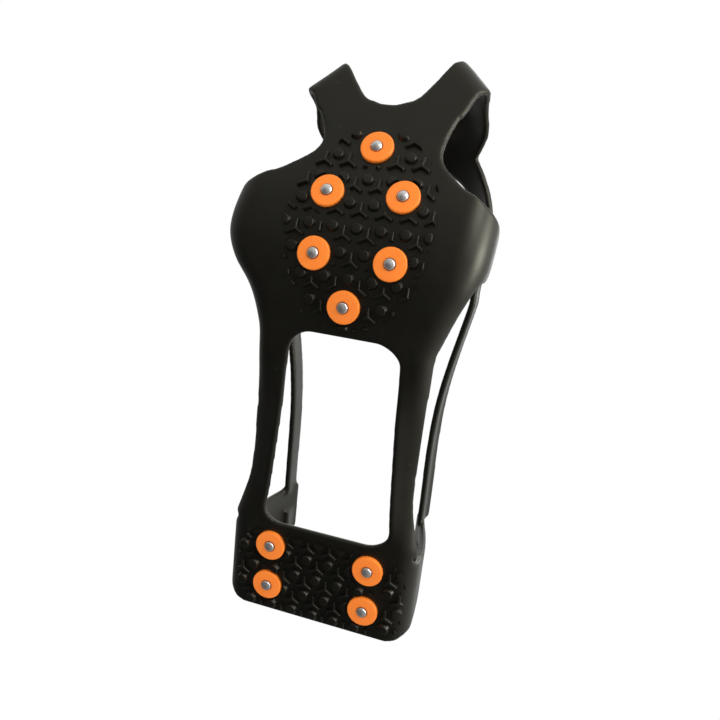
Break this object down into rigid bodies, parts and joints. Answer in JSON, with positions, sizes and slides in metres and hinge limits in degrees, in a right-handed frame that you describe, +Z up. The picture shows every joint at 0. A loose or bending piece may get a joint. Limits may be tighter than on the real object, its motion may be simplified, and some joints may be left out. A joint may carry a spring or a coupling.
{
  "type": "ice cleat",
  "caption": "Slip-on rubber ice cleat harness for a shoe, with steel-tipped plastic stud discs under the forefoot and heel, side wings, arch window, rim band and heel pull strap.",
  "frame": {"origin": "on the ground under the middle of the overall box, at the height of the stud tips", "axes": "+Y points to the toe, +Z up, +X to the wearer's right"},
  "size_m": [0.1165, 0.2811, 0.0994],
  "materials": {
    "rubber": "satin moulded black rubber",
    "disc": "bright orange moulded plastic, semi-gloss",
    "stud": "bright turned steel"
  },
  "bodies": {
    "forefoot": {"forefoot_plate": "rubber", "forefoot_tread": "rubber", "toe_strap": "rubber", "toe_arm_left": "rubber", "toe_arm_right": "rubber", "front_rim_left": "rubber", "front_rim_right": "rubber", "wing_left": "rubber", "wing_right": "rubber", "side_rail_left": "rubber", "side_rail_right": "rubber", "side_rim_left": "rubber", "side_rim_right": "rubber", "stud_disc_1": "disc", "stud_disc_2": "disc", "stud_disc_3": "disc", "stud_disc_4": "disc", "stud_disc_5": "disc", "stud_disc_6": "disc", "stud_1": "stud", "stud_2": "stud", "stud_3": "stud", "stud_4": "stud", "stud_5": "stud", "stud_6": "stud"},
    "heel": {"heel_plate": "rubber", "heel_tread": "rubber", "heel_flap_left": "rubber", "heel_flap_right": "rubber", "strap_side_left": "rubber", "strap_side_right": "rubber", "stud_disc_7": "disc", "stud_disc_8": "disc", "stud_disc_9": "disc", "stud_disc_10": "disc", "stud_7": "stud", "stud_8": "stud", "stud_9": "stud", "stud_10": "stud"},
    "heel_loop": {"heel_strap": "rubber", "pull_tab": "rubber"}
  },
  "joints": [
    {"name": "arch_flex", "type": "hinge", "parent": "forefoot", "child": "heel", "pos_m": [-0.00306, -0.02446, 0.0048], "axis": [-1, 0, 0], "range_deg": [-12, 50], "stiffness_Nm_per_rad": 0.5, "deforming": ["side_rail_left", "side_rail_right", "side_rim_left", "side_rim_right"]},
    {"name": "heel_pull", "type": "hinge", "parent": "heel", "child": "heel_loop", "pos_m": [-0.00306, -0.10146, 0.0573], "axis": [1, 0, 0], "range_deg": [-30, 50], "stiffness_Nm_per_rad": 0.2, "deforming": ["strap_side_left", "strap_side_right"]}
  ]
}
